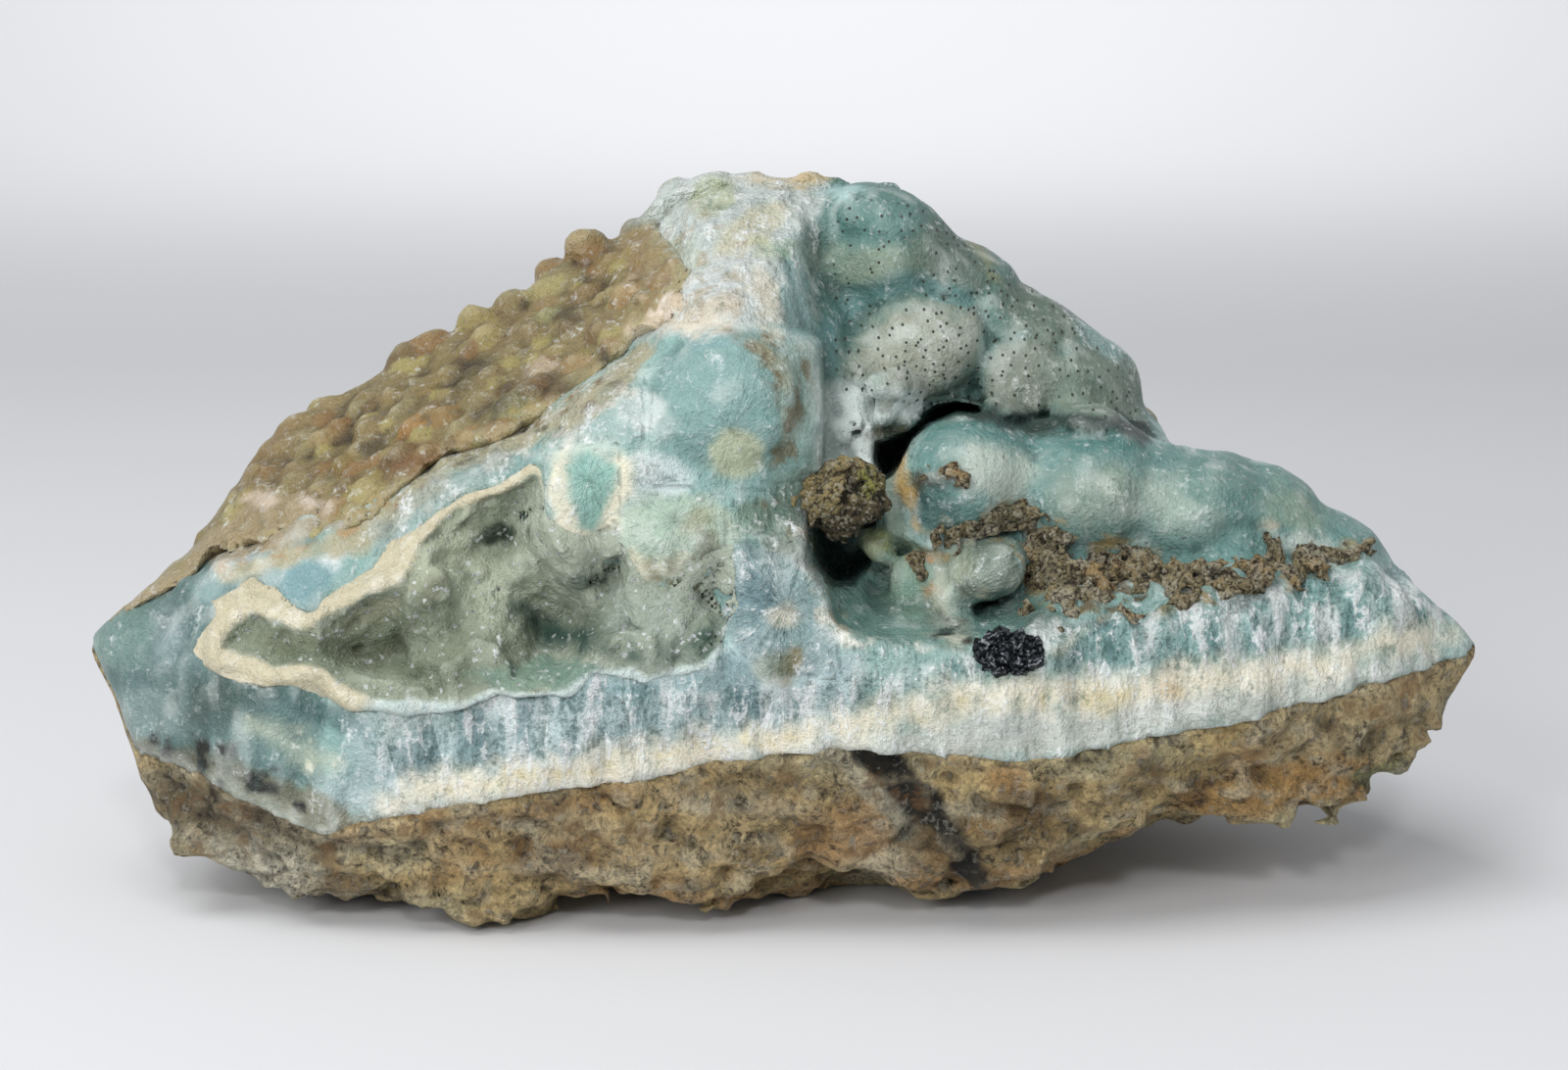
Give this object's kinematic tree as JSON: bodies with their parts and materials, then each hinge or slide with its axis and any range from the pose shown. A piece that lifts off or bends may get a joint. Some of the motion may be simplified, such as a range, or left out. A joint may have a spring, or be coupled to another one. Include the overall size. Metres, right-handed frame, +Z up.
{
  "type": "hemimorphite specimen",
  "caption": "Loose mineral hand specimen: a blue-green vein with rounded masses and open hollows on brown host rock, under a knobbly brown crust; rests on its flat underside.",
  "frame": {"origin": "on the flat break of the underside, under the middle of the stone, at the level it rests on", "axes": "+X to the right along the broken front face, +Y into the stone away from that face, +Z up"},
  "size_m": [0.1117, 0.0494, 0.0568],
  "materials": {
    "host_rock": "rough broken stone, brown and tan with pale grains",
    "hemimorphite": "translucent fibrous crystal, pale blue-green, glassy on the fresh break",
    "brown_crust": "waxy knobbly crust, olive to brown",
    "druse": "sugary lining of tiny crystals, grey-green, sparkling",
    "iron_oxide": "porous earthy grains, dull brown",
    "dark_crystal": "metallic black crystal faces"
  },
  "bodies": {
    "root": {"matrix": "host_rock", "hemimorphite": "hemimorphite", "brown_crust": "brown_crust", "druse": "druse", "iron_oxide_lump": "iron_oxide", "iron_oxide_strip": "iron_oxide", "dark_crystals": "dark_crystal"}
  },
  "joints": []
}
